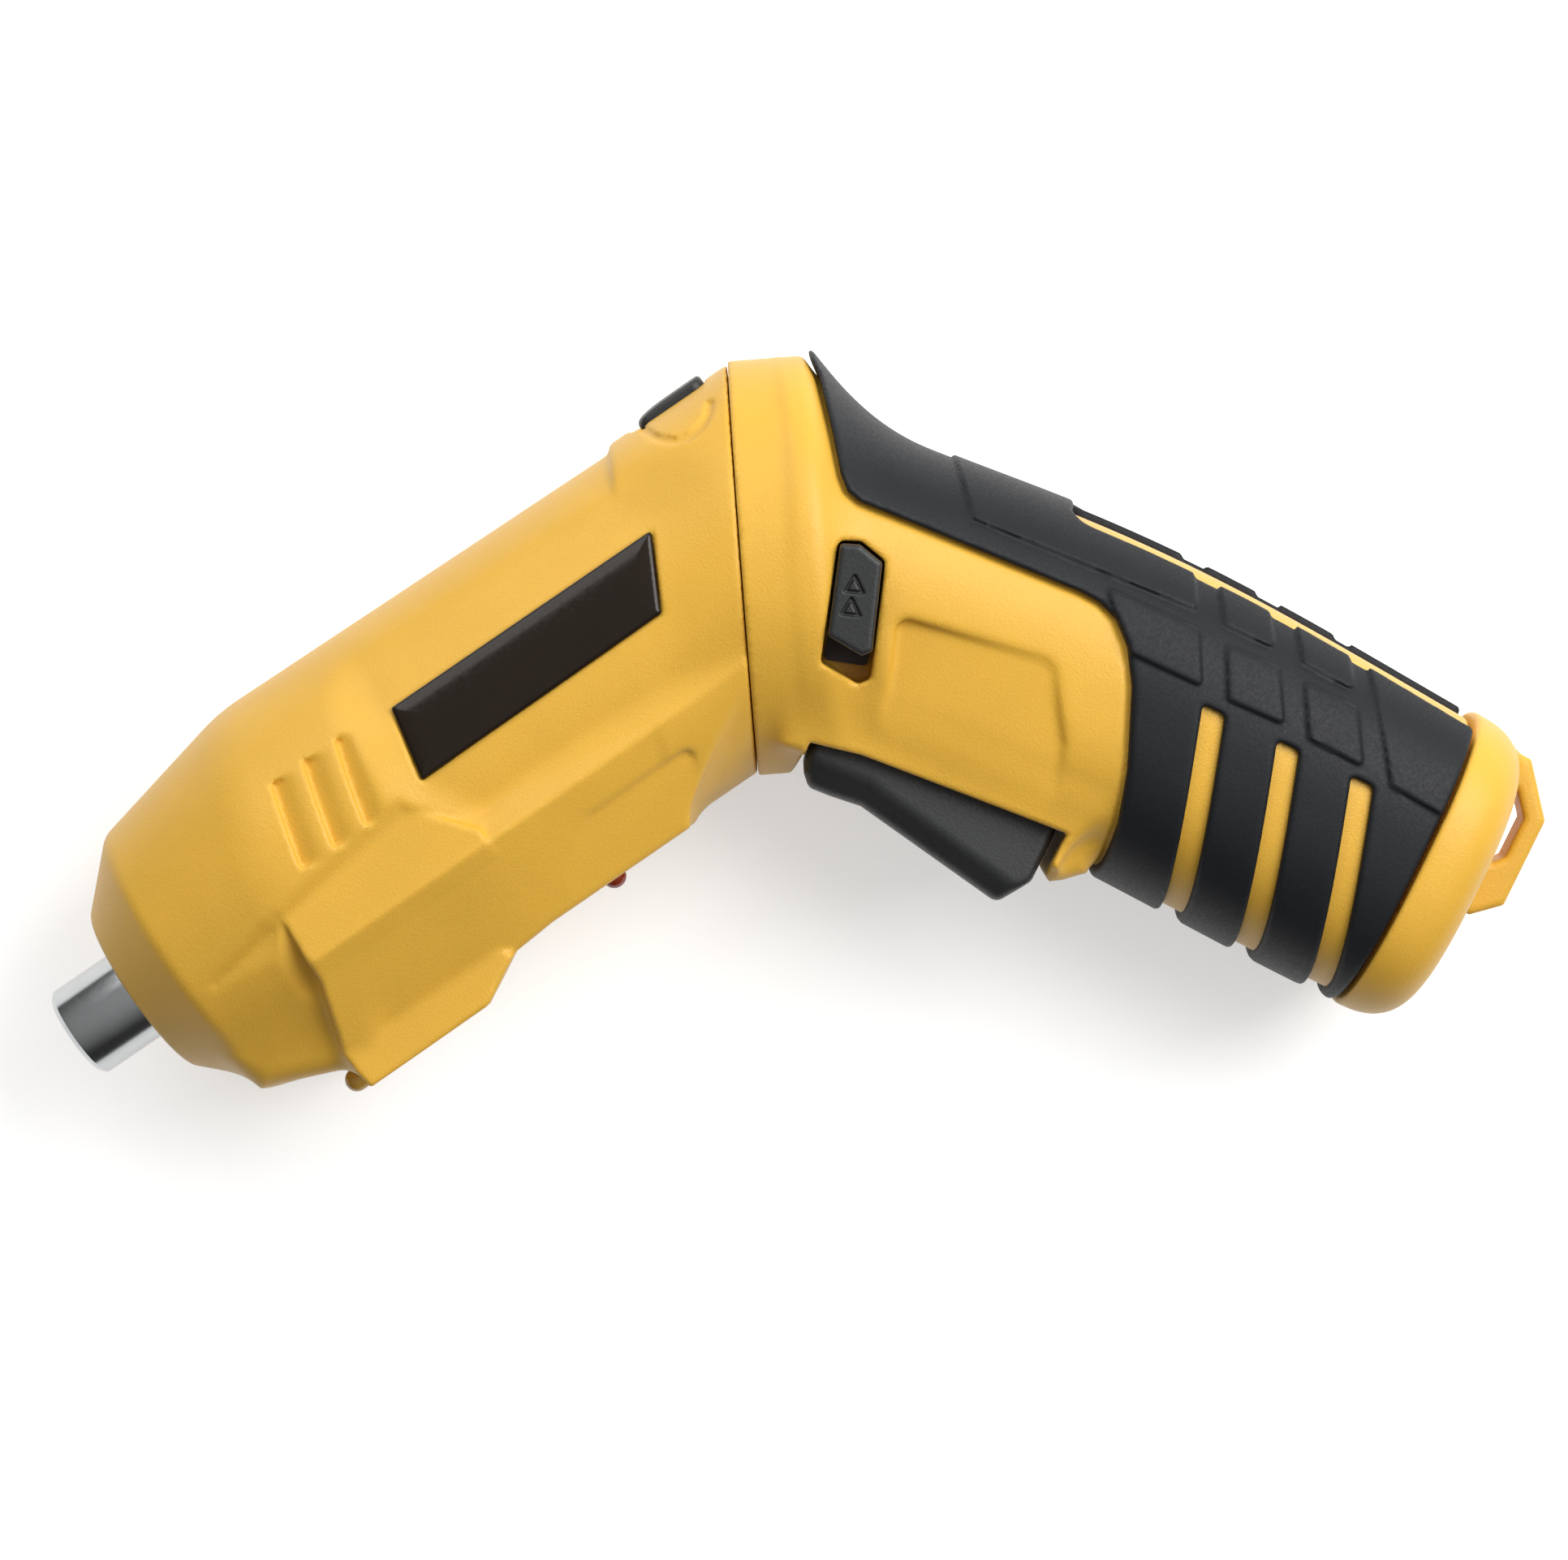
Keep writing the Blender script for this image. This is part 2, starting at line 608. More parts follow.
def handle_reach(s, t):
    """How far a point of the handle lies behind the seam, along the swivel axis."""
    return s * cos(TILT) + t * sin(TILT)


def handle_skin(s, t, z):
    """Collar and grip run together with a wide fillet, with the flange above the trigger."""
    reach = handle_reach(s, t)
    rise = t * cos(TILT) - s * sin(TILT)
    high = HOUSING_R / cos(TILT) + COLLAR_GROWTH[0]
    seam = np.hypot(rise / high, z / (HOUSING_R + COLLAR_GROWTH[1]))
    radial = (seam - 1.0) * COLLAR_SCALE
    behind = (radial + COLLAR_SLOPE * (reach - COLLAR_BACK)) / COLLAR_LENGTH
    collar = soft_max(radial, behind, 1.0)
    grip = soft_max(grip_field(s, t, z), GRIP_FROM - reach, 1.0)
    flange = soft_max(outline(s, t, FLANGE), np.abs(z) - FLANGE_HALF, 1.4)
    return soft_min(soft_min(collar, grip, 3.5), flange, 4.0)


def spine(s, t, z):
    """The bare strip along the grip's top, with a rounded front end."""
    along = s - SPINE_FROM - SPINE_REACH
    return soft_max(rounded_box(along, z - SPINE_Z, SPINE_REACH, SPINE_HALF, 3.0), -t, 0.5)


def handle_field(s, t, z):
    """The yellow handle: its skin, trimmed and cut for trigger, slider and rubber."""
    wide = np.abs(z)
    body = handle_skin(s, t, z)
    body = soft_max(body, s - GRIP_END, 0.3)
    body = soft_min(body, soft_max(outline(s, t, TRIGGER_LIP), wide - LIP_HALF, 2.5), 2.0)
    body = cut(body, outline(s, t, TRIGGER_RELIEF), 0.6)
    opening = rounded_box(s - OPENING_AT[0], t - OPENING_AT[1], *OPENING_HALF, 1.0)
    body = cut(body, soft_max(opening, wide - TRIGGER_HALF, 0.4), 0.4)
    scoop = soft_max(0.6 * eased(s, t, SCOOP, 1.5), SCOOP_FLOOR + SCOOP_LEAN * t - wide, 0.6)
    body = cut(body, scoop, 0.8)
    bead = np.abs(outline(s, t, RUBBER_OUTLINE)) - BEAD_HALF
    body = cut(body, soft_max(bead, -body - BEAD_DEEP, 0.3), 0.4)
    return soft_max(body, SEAM_GAP - handle_reach(s, t), 0.3)


def handle_half(side):
    """One half of the handle; the slider's slot is in the left one, screw wells in the right."""

    def field(s, t, z):
        body = handle_field(s, t, z)
        if side > 0:
            slot = soft_max(eased(s, t, SLIDER_SLOT, 0.8), SLIDER_SLOT_FLOOR - z, 0.2)
            body = cut(body, slot, 0.5)
        else:
            body = with_wells(body, s, t, z, HANDLE_WELLS)
        return shell_half(body, z, side)

    return field


def rubber_half(side, rise):
    """Half the overmould: an offset of the handle's skin with tiles, slots and a bare spine."""

    def field(s, t, z):
        skin = handle_skin(s, t, z)
        tiles = np.inf
        for tile in TILES:
            tiles = np.minimum(tiles, eased(s, t, tile, 0.5))
        raised = np.clip(0.5 - tiles / TILE_EDGE, 0.0, 1.0)
        body = skin - RUBBER_THICK - rise * raised * raised * (3.0 - 2.0 * raised)
        body = soft_max(body, outline(s, t, RUBBER_OUTLINE) + RUBBER_GAP, 0.8)
        along = SLOT_TOP[1] - t
        for index in range(SLOTS):
            beside = s - SLOT_TOP[0] - index * SLOT_PITCH - SLOT_SLANT * along
            beside = beside / np.hypot(1.0, SLOT_SLANT)
            slot = rounded_box(beside, along - SLOT_REACH, SLOT_HALF, SLOT_REACH, 0.6)
            body = cut(body, slot, 0.6)
        body = cut(body, spine(s, t, z), 0.6)
        body = soft_max(body, -skin - RUBBER_ROOT, 0.3)
        body = soft_max(body, s - GRIP_END + RUBBER_GAP, 0.8)
        return soft_max(body, PARTING - side * z, 0.2)

    return field


LOOP = [(92.0, 21.0), (97.3, 21.0), (102.2, 14.9), (102.2, 3.4), (98.9, 0.5), (92.0, 0.5)]
LOOP_GAP = [(96.8, 17.2), (97.1, 17.2), (99.7, 14.0), (99.7, 8.8), (98.5, 7.4), (96.8, 7.4)]
LOOP_HALF = 3.4
CAP_RISE = 1.2
CAP_ROUND = 6.5
CAP_GAP = 0.12
MOUTH_T = -4.0
MOUTH_HALF = (1.8, 4.3)
MOUTH_FLOOR = 93.0


def tail_cap_field(s, t, z):
    """The cap: the grip's section carried on to a rounded end, with its loop and socket mouth."""
    body = soft_max(grip_field(s, t, z) - CAP_RISE, s - TAIL_END, CAP_ROUND)
    body = soft_max(body, GRIP_END + CAP_GAP - s, 0.7)
    loop = soft_max(outline(s, t, LOOP), np.abs(z) - LOOP_HALF, 0.9)
    loop = cut(loop, outline(s, t, LOOP_GAP), 0.8)
    body = soft_min(body, loop, 0.8)
    mouth = soft_max(rounded_box(t - MOUTH_T, z, *MOUTH_HALF, 0.8), MOUTH_FLOOR - s, 0.2)
    return cut(body, mouth, 0.5)


# Trigger, slider and small parts

TRIGGER_OUTLINE = [
    (16.6, -15.6), (17.3, -18.7), (18.7, -20.2), (21.6, -20.0), (25.4, -19.5), (45.3, -22.9),
    (47.9, -18.6), (48.0, -10.4), (17.8, -10.4),
]
TRIGGER_CREASE = ((18.3, 25.0, 46.0), (-16.7, -16.2, -20.0))
TRIGGER_HALF = 12.0
TRIGGER_GAP = 0.1
TRIGGER_UPPER = radians(5)
TRIGGER_LOWER = radians(30)
SLIDER_TOP = 21.9
SLIDER_BOTTOM = 13.0
ARROW_TIPS = [(12.3, 5.6), (13.1, 3.0)]
ARROW_HALF = 0.18
ARROW_FLOOR = 21.5
# Screws: radius and face of the head, centre and radius of its dome, cross recess
SCREW_R = 2.5
SCREW_FACE = 0.6
DOME_Z = 2.4
DOME_R = 3.6
CROSS_HALF = (1.6, 0.38)
CROSS_FLOOR = 0.35
HEX_HALF = 3.225
SPINDLE_STEPS = 120


def trigger_field(s, t, z):
    """The trigger: its side outline, with faces that draw in above and below a crease."""
    wide = np.abs(z) - TRIGGER_HALF - TRIGGER_GAP
    above = t - np.interp(s, *TRIGGER_CREASE)
    upper = wide * cos(TRIGGER_UPPER) + above * sin(TRIGGER_UPPER)
    lower = wide * cos(TRIGGER_LOWER) - above * sin(TRIGGER_LOWER)
    sides = soft_max(upper, lower, 0.5)
    return soft_max(eased(s, t, TRIGGER_OUTLINE, 1.3), sides, 1.2)


def slider_field(s, t, z):
    """The thumb slide: a slanted block with eased edges and two engraved arrow heads."""
    body = soft_max(eased(s, t, SLIDER_OUTLINE, 0.5), z - SLIDER_TOP, 0.7)
    body = soft_max(body, SLIDER_BOTTOM - z, 0.3)
    for tip_s, tip_t in ARROW_TIPS:
        arrow = [(tip_s, tip_t), (tip_s - 0.2, tip_t - 2.1), (tip_s + 1.75, tip_t - 1.4)]
        stroke = np.abs(outline(s, t, arrow)) - ARROW_HALF
        body = cut(body, soft_max(stroke, ARROW_FLOOR - z, 0.1), 0.12)
    return body


def screw_field(x, y, z):
    """A pan head seen from below, with a cross recess."""
    dome = np.sqrt(x * x + y * y + (z - DOME_Z) ** 2) - DOME_R
    head = soft_max(np.hypot(x, y) - SCREW_R, soft_max(dome, z - SCREW_FACE, 0.2), 0.3)
    cross = np.minimum(rounded_box(x, y, *CROSS_HALF, 0.1), rounded_box(y, x, *CROSS_HALF, 0.1))
    return cut(head, soft_max(cross, z + CROSS_FLOOR, 0.2), 0.15)


def hex_radius(angle):
    """Distance from the centre to the side of a hexagon 6.45 mm across flats."""
    return HEX_HALF / np.cos((angle + pi / 6) % (pi / 3) - pi / 6)


def spindle_rings():
    """The spindle's skin: journal, shoulder, nose with eased edges, then the hex socket."""
    plain = [
        (24.8, 0.0), (24.8, 5.5), (9.75, 5.5), (9.7, 5.55), (9.7, 5.9), (9.6, 6.0), (0.8, 6.0),
        (0.62, 5.96), (0.14, 5.5), (0.02, 5.3), (0.0, 5.2), (0.0, 4.25), (0.05, 4.15),
    ]
    rings = [(place, lambda angle, r=radius: np.full_like(angle, r)) for place, radius in plain]
    rings += [(place, hex_radius) for place in (0.7, 0.8, 12.9, 13.0)]
    return rings + [(13.0, lambda angle: np.zeros_like(angle))]


# Finishes


def linear(code):
    """An sRGB hex value as a linear colour."""
    channels = np.array([int(code[i : i + 2], 16) for i in (0, 2, 4)]) / 255.0
    curve = np.where(channels <= 0.04045, channels / 12.92, ((channels + 0.055) / 1.055) ** 2.4)
    return tuple(float(c) for c in curve)


def node(tree, kind, inputs=None, **settings):
    """Adds a node with its settings; an input is a value or the socket to link."""
    made = tree.nodes.new(kind)
    for key, value in settings.items():
        setattr(made, key, value)
    for key, value in (inputs or {}).items():
        if isinstance(value, bpy.types.NodeSocket):
            tree.links.new(value, made.inputs[key])
        else:
            made.inputs[key].default_value = value
    return made


def new_material(name):
    """An empty material with its shader joined to the output."""
    material = bpy.data.materials.new(name)
    material.use_nodes = True
    tree = material.node_tree
    tree.nodes.clear()
    shader = node(tree, "ShaderNodeBsdfPrincipled")
    node(tree, "ShaderNodeOutputMaterial", {"Surface": shader.outputs[0]})
    return tree, shader


def grain(tree, size_mm, detail=2.0, stretch=(1.0, 1.0, 1.0)):
    """Noise on object coordinates with features of a size in millimetres, drawn out if asked."""
    place = node(tree, "ShaderNodeTexCoord").outputs["Object"]
    place = node(tree, "ShaderNodeMapping", {"Vector": place, "Scale": stretch}).outputs[0]
    inputs = {"Vector": place, "Scale": 1.0 / (size_mm * MM), "Detail": detail}
    return node(tree, "ShaderNodeTexNoise", inputs).outputs[0]


def spread_over(tree, factor, low, high):
    """A noise's middle range carried over to a range of values."""
    inputs = {"Value": factor, "From Min": 0.3, "From Max": 0.7, "To Min": low, "To Max": high}
    return node(tree, "ShaderNodeMapRange", inputs).outputs[0]


def clouded(tree, factor, colour, tone):
    """A colour that falls to a part of itself, its tone, where the noise is low."""
    dark = (*(c * tone for c in colour), 1.0)
    inputs = {0: spread_over(tree, factor, 0.0, 1.0), 6: dark, 7: (*colour, 1.0)}
    return node(tree, "ShaderNodeMix", inputs, data_type="RGBA").outputs[2]


def bumped(tree, height, strength):
    """Bumps a tenth of a millimetre high."""
    inputs = {"Height": height, "Strength": strength, "Distance": 0.1 * MM}
    return node(tree, "ShaderNodeBump", inputs).outputs[0]


def connect(tree, shader, links):
    """Links each named input of a shader to its source."""
    for socket, value in links.items():
        tree.links.new(value, shader.inputs[socket])


def moulded(name, colour, tone, rough, grain_mm, bump, **values):
    """A moulded plastic or rubber: clouded colour and the fine grain of a spark-eroded tool."""
    tree, shader = new_material(name)
    fine = grain(tree, grain_mm)
    links = {
        "Base Color": clouded(tree, grain(tree, 9.0, 3.0), colour, tone),
        "Roughness": spread_over(tree, fine, rough - 0.06, rough + 0.06),
        "Normal": bumped(tree, fine, bump),
    }
    connect(tree, shader, links)
    for socket, value in values.items():
        shader.inputs[socket.replace("_", " ")].default_value = value


def turned(name, colour, tone, rough, streak_mm):
    """A turned or plated metal: faint clouds, and a roughness streaked round its axis."""
    tree, shader = new_material(name)
    streak = grain(tree, streak_mm, 3.0, (8.0, 1.0, 1.0))
    links = {
        "Base Color": clouded(tree, grain(tree, 3.0, 3.0), colour, tone),
        "Roughness": spread_over(tree, streak, rough - 0.05, rough + 0.07),
        "Normal": bumped(tree, streak, 0.08),
    }
    connect(tree, shader, links)
    shader.inputs["Metallic"].default_value = 1.0


SLOT_FINISH = {
    "head_shell": "Moulded yellow ABS",
    "handle_shell": "Moulded yellow ABS",
    "cap": "Moulded yellow ABS",
    "rubber": "Overmoulded black TPE",
    "badge": "Gloss moulded acrylic",
    "black_plastic": "Satin moulded black ABS",
    "inner_plastic": "Moulded glass-filled nylon",
    "spindle_steel": "Turned and plated steel",
    "inner_steel": "Ground steel",
    "motor_steel": "Drawn and plated motor can",
    "bronze": "Sintered bronze",
    "clear_lens": "Moulded clear lens",
    "red_lens": "Moulded red lens",
    "cell_case": "Shrink-wrapped cell film",
    "board": "Laminated green board",
}


def finishes():
    """Every finish of the tool by its slot, made on the first call."""
    names = SLOT_FINISH
    if names["head_shell"] not in bpy.data.materials:
        looks = bpy.context.scene.screwdriver_finish
        # Warm even yellow whose fine spark grain breaks up the highlights
        moulded(
            names["head_shell"], looks.shell_colour, 0.94, 0.42, 0.3, 0.5, Specular_IOR_Level=0.35,
            Subsurface_Weight=looks.plastic_depth, Subsurface_Radius=(1.0, 0.45, 0.12),
            Subsurface_Scale=1.2 * MM,
        )
        # Soft black that stays dark, with a dull sheen on the tile edges
        moulded(names["rubber"], looks.rubber_colour, 0.8, 0.56, 0.4, 0.25, Specular_IOR_Level=0.3)
        # Deep brown-black with a clear mirror-like sheen
        moulded(names["badge"], looks.badge_colour, 0.9, 0.14, 0.5, 0.02, Specular_IOR_Level=0.3)
        # Dark grey-black with a satin grain on the parts that fingers work
        moulded(names["black_plastic"], looks.trim_colour, 0.85, 0.45, 0.34, 0.3)
        # Dull charcoal with fibre specks, for parts that stay inside
        moulded(names["inner_plastic"], linear("343537"), 0.7, 0.55, 0.5, 0.2)
        # Bright steel with bands of light and dark round the turned nose
        turned(names["spindle_steel"], linear("BEC0C1"), 0.92, 0.17, 0.5)
        # Mid grey steel with a fine grinding lay
        turned(names["inner_steel"], linear("97999B"), 0.7, 0.32, 0.4)
        # Grey plated sheet, a little dull
        turned(names["motor_steel"], linear("A3A5A7"), 0.75, 0.3, 0.6)
        # Warm porous bearing metal
        turned(names["bronze"], linear("A8743A"), 0.7, 0.42, 0.5)
        # Deep red that glows a little at its rim
        moulded(names["red_lens"], linear("A23A16"), 0.8, 0.15, 1.2, 0.02, Transmission_Weight=0.15)
        # Milky clear dome that picks up the yellow round it
        moulded(
            names["clear_lens"], linear("DDAE4A"), 0.9, 0.12, 1.2, 0.02, Transmission_Weight=0.2
        )
        # Blue film with soft wrinkles
        moulded(names["cell_case"], linear("24508F"), 0.75, 0.35, 0.8, 0.05)
        # Green lacquer over woven laminate
        moulded(names["board"], linear("146B36"), 0.75, 0.4, 0.6, 0.1)
    return {slot: bpy.data.materials[name] for slot, name in names.items()}


# Settings and operators

# Middle and width of the picture in metres, sensor in millimetres, glow of the floor
VIEW_MIDDLE = (0.08998, -0.02319, 0.0)
VIEW_WIDTH = 0.1932
SENSOR_WIDTH = 36.0
FLOOR_LIFT = 0.5


class ScrewdriverShape(bpy.types.PropertyGroup):
    """Sizes of the mouldings, in millimetres."""

    cell: bpy.props.FloatProperty(
        name="Cell",
        description="Size of a mesh cell on the mouldings, in mm",
        default=0.45,
        min=0.2,
    )
    fine_cell: bpy.props.FloatProperty(
        name="Fine cell",
        description="Size of a mesh cell on small parts, in mm",
        default=0.2,
        min=0.1,
    )
    tile_rise: bpy.props.FloatProperty(
        name="Tile rise", description="How far the rubber tiles stand up, in mm", default=0.42
    )
    badge_rise: bpy.props.FloatProperty(
        name="Badge rise",
        description="How far the badge stands above its seat, in mm",
        default=0.75,
    )
    lock_rise: bpy.props.FloatProperty(
        name="Lock rise",
        description="How far the lock button stands above the skin, in mm",
        default=1.1,
    )


class ScrewdriverFinish(bpy.types.PropertyGroup):
    """Colours and finishes."""

    shell_colour: bpy.props.FloatVectorProperty(
        name="Shell",
        description="Colour of head, handle and cap",
        subtype="COLOR",
        default=linear("E9B543"),
    )
    rubber_colour: bpy.props.FloatVectorProperty(
        name="Rubber", description="Colour of the grip", subtype="COLOR", default=linear("181A1E")
    )
    trim_colour: bpy.props.FloatVectorProperty(
        name="Trim",
        description="Colour of trigger, slide, button",
        subtype="COLOR",
        default=linear("28292A"),
    )
    badge_colour: bpy.props.FloatVectorProperty(
        name="Badge",
        description="Colour of the badge plate",
        subtype="COLOR",
        default=linear("20170F"),
    )
    plastic_depth: bpy.props.FloatProperty(
        name="Plastic depth",
        description="How much light enters the shell",
        default=0.12,
        subtype="FACTOR",
    )


class ScrewdriverStage(bpy.types.PropertyGroup):
    """Camera and light."""

    distance: bpy.props.FloatProperty(
        name="Camera distance", description="From the tool's middle", default=0.6, unit="LENGTH"
    )
    turn: bpy.props.FloatProperty(
        name="Turn",
        description="Turn of the tool in the picture",
        default=radians(34.3),
        subtype="ANGLE",
    )
    tilt: bpy.props.FloatProperty(
        name="Tilt",
        description="Lean of the camera to the tool's top",
        default=radians(4),
        subtype="ANGLE",
    )
    key_power: bpy.props.FloatProperty(
        name="Key light", description="Power of the main light", default=2.75, unit="POWER"
    )


class SCREWDRIVER_OT_head(bpy.types.Operator):
    """Make the two halves of the head housing"""

    bl_idname = "screwdriver.head"
    bl_label = "Head housing"

    def execute(self, context):
        cell = context.scene.screwdriver_shape.cell
        for label, side, low, high in halves(HOUSING_REACH):
            box = ((9.5, -26.5, low), (113.5, 23.5, high))
            nodes = [f"head_shell_{label}"]
            mould(f"head_housing_{label}", head_half(side), box, cell, "head", "head_shell", nodes)
        return {"FINISHED"}


class SCREWDRIVER_OT_handle(bpy.types.Operator):
    """Make the two halves of the handle and its tail cap"""

    bl_idname = "screwdriver.handle"
    bl_label = "Handle"

    def execute(self, context):
        cell = context.scene.screwdriver_shape.cell
        for label, side, low, high in halves(HOUSING_REACH):
            box = ((-15.0, -23.0, low), (89.0, 28.5, high))
            nodes = [f"handle_shell_{label}"]
            field = handle_half(side)
            mould(
                f"handle_{label}", field, box, cell, "handle", "handle_shell", nodes, handle_place
            )
        box = ((88.0, -16.5, -20.0), (103.0, 24.0, 20.0))
        nodes = ["tail_cap"]
        mould("tail_cap_moulding", tail_cap_field, box, cell, "handle", "cap", nodes, handle_place)
        return {"FINISHED"}


class SCREWDRIVER_OT_rubber(bpy.types.Operator):
    """Make the rubber overmould of the grip"""

    bl_idname = "screwdriver.rubber"
    bl_label = "Rubber grip"

    def execute(self, context):
        shape = context.scene.screwdriver_shape
        cell = 0.8 * shape.cell
        for label, side, low, high in halves(RUBBER_REACH):
            field = rubber_half(side, shape.tile_rise)
            box = ((-10.0, -17.0, low), (89.0, 30.0, high))
            nodes = [f"grip_{label}"]
            mould(
                f"grip_overmould_{label}", field, box, cell, "handle", "rubber", nodes, handle_place
            )
        return {"FINISHED"}


class SCREWDRIVER_OT_controls(bpy.types.Operator):
    """Make the trigger, the direction slide and the lock button"""

    bl_idname = "screwdriver.controls"
    bl_label = "Controls"

    def execute(self, context):
        shape = context.scene.screwdriver_shape
        fine = shape.fine_cell
        slot = "black_plastic"
        box = ((16.0, -23.5, -12.6), (49.0, -10.0, 12.6))
        nodes = ["trigger"]
        mould(
            "trigger_moulding", trigger_field, box, 1.4 * fine, "trigger", slot, nodes, handle_place
        )
        box = ((8.5, -3.5, 12.5), (19.0, 10.0, 22.4))
        nodes = ["direction_slider"]
        mould("direction_slide", slider_field, box, 0.8 * fine, "slider", slot, nodes, handle_place)
        box = ((99.5, 19.8, -4.5), (110.0, 24.5, 4.5))
        mould("lock_pad", lock_button(shape.lock_rise), box, fine, "lock", slot, ["lock_button"])
        return {"FINISHED"}


class SCREWDRIVER_OT_fittings(bpy.types.Operator):
    """Make the spindle, the badge plate and the screws"""

    bl_idname = "screwdriver.fittings"
    bl_label = "Spindle, badge and screws"

    def execute(self, context):
        shape = context.scene.screwdriver_shape
        points, faces = lathe(spindle_rings(), SPINDLE_STEPS)
        nodes = ["output_spindle"]
        add_piece("spindle_turned", points, faces, "spindle", "spindle_steel", nodes, flat_angle=30)
        box = ((54.0, 0.5, 16.0), (95.5, 13.0, 21.8))
        face = badge(shape.badge_rise)
        mould("badge_face", face, box, 1.2 * shape.fine_cell, "head", "badge", ["badge_plate"])
        self.screws("head", HEAD_WELLS, 0.8 * shape.fine_cell, lambda points: points)
        self.screws("handle", HANDLE_WELLS, 0.8 * shape.fine_cell, handle_place)
        return {"FINISHED"}

    def screws(self, body, wells, cell, place):
        """One screw at the bottom of each well of a body."""
        points, faces = wrapped(screw_field, (-2.8, -2.8, -1.5), (2.8, 2.8, 0.8), cell)
        for index, (x, y, skin) in enumerate(wells):
            seated = place(points + np.array([x, y, WELL_DEPTH - skin - SCREW_FACE]))
            add_piece(f"{body}_screw_{index + 1}", seated, faces, body, "inner_steel")


class SCREWDRIVER_OT_finish(bpy.types.Operator):
    """Give the pieces that come straight from the model their finishes"""

    bl_idname = "screwdriver.finish"
    bl_label = "Finishes"

    def execute(self, context):
        made = finishes()
        for part in frame["record"]["subparts"]:
            for slot in frame["nodes"][part["node"]].material_slots:
                slot.material = made[part["material_slot"]]
        return {"FINISHED"}


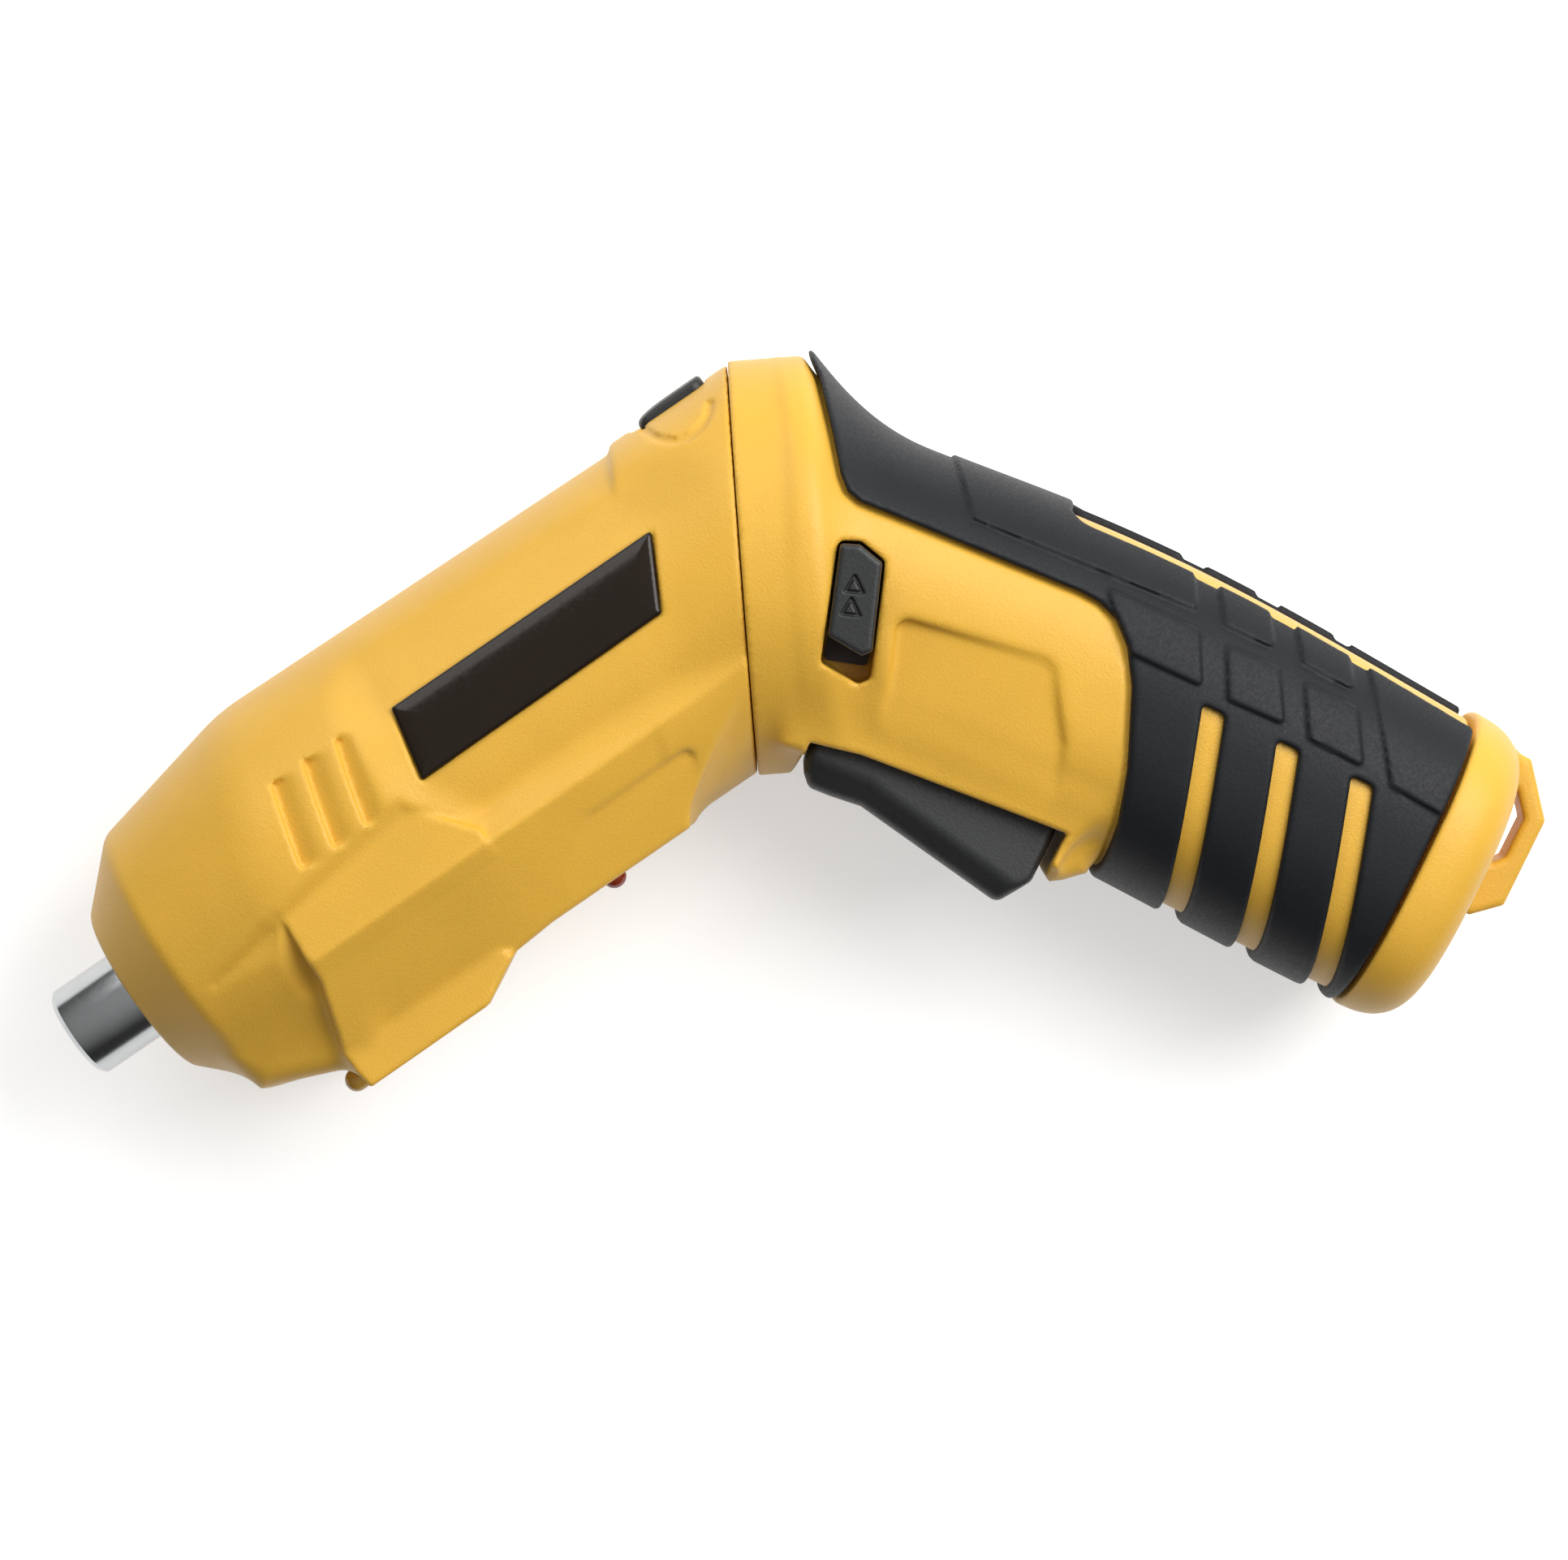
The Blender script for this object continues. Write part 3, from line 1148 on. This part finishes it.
class SCREWDRIVER_OT_stage(bpy.types.Operator):
    """Set the floor, the light and the camera"""

    bl_idname = "screwdriver.stage"
    bl_label = "Stage"

    def execute(self, context):
        stage = context.scene.screwdriver_stage
        right = Vector((cos(stage.turn), -sin(stage.turn), 0.0))
        up = Vector((sin(stage.turn), cos(stage.turn), 0.0))
        middle = Vector(VIEW_MIDDLE)
        self.floor()
        self.camera(stage, middle, right, up)
        self.lights(stage, middle, right, up)
        context.scene.view_settings.view_transform = "Standard"
        return {"FINISHED"}

    def floor(self):
        """A pale floor that shows white to the camera and in reflections, and keeps the shadow."""
        corners = [(x, y, FLOOR_Z) for x, y in ((-3, -3), (3, -3), (3, 3), (-3, 3))]
        mesh = bpy.data.meshes.new("floor")
        mesh.from_pydata(corners, [], [(0, 1, 2, 3)])
        tree, shader = new_material("Pale studio floor")
        shader.inputs["Base Color"].default_value = (*linear("F0F0EF"), 1.0)
        shader.inputs["Roughness"].default_value = 0.9
        shader.inputs["Emission Color"].default_value = (1.0, 1.0, 1.0, 1.0)
        path = node(tree, "ShaderNodeLightPath").outputs
        seen = path["Is Camera Ray"]
        for ray in ("Is Glossy Ray", "Is Transmission Ray"):
            either = {0: seen, 1: path[ray]}
            seen = node(tree, "ShaderNodeMath", either, operation="MAXIMUM").outputs[0]
        lift = node(tree, "ShaderNodeMath", {0: seen, 1: FLOOR_LIFT}, operation="MULTIPLY")
        tree.links.new(lift.outputs[0], shader.inputs["Emission Strength"])
        mesh.materials.append(bpy.data.materials["Pale studio floor"])
        floor = bpy.data.objects.new("floor", mesh)
        bpy.context.scene.collection.objects.link(floor)

    def camera(self, stage, middle, right, up):
        """The photograph's view: straight down on the tool's left side, leaning to its top."""
        back = Vector((0.0, 0.0, cos(stage.tilt))) + up * sin(stage.tilt)
        data = bpy.data.cameras.new("camera")
        data.sensor_width = SENSOR_WIDTH
        data.lens = data.sensor_width * stage.distance / VIEW_WIDTH
        camera = bpy.data.objects.new("camera", data)
        place = Matrix((right, back.cross(right), back)).transposed().to_4x4()
        place.translation = middle + back * stage.distance
        camera.matrix_world = place
        bpy.context.scene.collection.objects.link(camera)
        bpy.context.scene.camera = camera

    def lights(self, stage, middle, right, up):
        """A soft key from the picture's top right, a weaker one from its top left.

        The world is brightest overhead and towards the picture's top right, and dark below. The
        camera sees it white.
        """
        above = Vector((0.0, 0.0, 1.0))
        for name, place, size, power in (
            ("key", right * 0.30 + up * 0.22 + above * 0.40, 0.4, stage.key_power),
            ("side", right * -0.25 + up * 0.45 + above * 0.30, 0.4, stage.key_power * 0.42),
        ):
            data = bpy.data.lights.new(name, "AREA")
            data.size = size
            data.energy = power
            lamp = bpy.data.objects.new(name, data)
            lamp.location = middle + place
            lamp.rotation_euler = place.to_track_quat("Z", "Y").to_euler()
            bpy.context.scene.collection.objects.link(lamp)
        world = bpy.data.worlds.new("Studio")
        bpy.context.scene.world = world
        world.use_nodes = True
        tree = world.node_tree
        tree.nodes.clear()
        way = node(tree, "ShaderNodeTexCoord").outputs["Object"]
        bright = (right * 0.3 + up * 0.5 + above * 0.8).normalized()
        towards = node(tree, "ShaderNodeVectorMath", {0: way, 1: bright}, operation="DOT_PRODUCT")
        spread = {
            "Value": towards.outputs["Value"], "From Min": 0.05, "To Min": 0.04, "To Max": 0.58,
        }
        sky = node(tree, "ShaderNodeMapRange", spread).outputs[0]
        seen = node(tree, "ShaderNodeLightPath").outputs["Is Camera Ray"]
        shown = node(tree, "ShaderNodeMath", {0: sky, 1: seen}, operation="MAXIMUM").outputs[0]
        back = node(tree, "ShaderNodeBackground", {"Strength": shown})
        back.inputs["Color"].default_value = (1.0, 1.0, 1.0, 1.0)
        node(tree, "ShaderNodeOutputWorld", {"Surface": back.outputs[0]})


class SCREWDRIVER_PT_panel(bpy.types.Panel):
    """Lists the tool's operators"""

    bl_idname = "SCREWDRIVER_PT_panel"
    bl_label = "Screwdriver"
    bl_space_type = "VIEW_3D"
    bl_region_type = "UI"
    bl_category = "Screwdriver"

    def draw(self, context):
        for operator in OPERATORS:
            self.layout.operator(operator.bl_idname)
        for group in GROUPS:
            settings = getattr(context.scene, f"screwdriver_{group}")
            for name in settings.__annotations__:
                self.layout.prop(settings, name)


OPERATORS = [
    SCREWDRIVER_OT_stage,
    SCREWDRIVER_OT_head,
    SCREWDRIVER_OT_handle,
    SCREWDRIVER_OT_rubber,
    SCREWDRIVER_OT_controls,
    SCREWDRIVER_OT_fittings,
    SCREWDRIVER_OT_finish,
]
GROUPS = {"shape": ScrewdriverShape, "finish": ScrewdriverFinish, "stage": ScrewdriverStage}


def register():
    for item in (*GROUPS.values(), *OPERATORS, SCREWDRIVER_PT_panel):
        bpy.utils.register_class(item)
    for key, group in GROUPS.items():
        setattr(bpy.types.Scene, f"screwdriver_{key}", bpy.props.PointerProperty(type=group))


def unregister():
    for key in GROUPS:
        delattr(bpy.types.Scene, f"screwdriver_{key}")
    for item in (SCREWDRIVER_PT_panel, *reversed(OPERATORS), *GROUPS.values()):
        bpy.utils.unregister_class(item)


def main():
    """Register, run every operator in order and note the two boxes."""
    register()
    for operator in OPERATORS:
        group, name = operator.bl_idname.split(".")
        getattr(getattr(bpy.ops, group), name)()


if __name__ == "__main__":
    main()
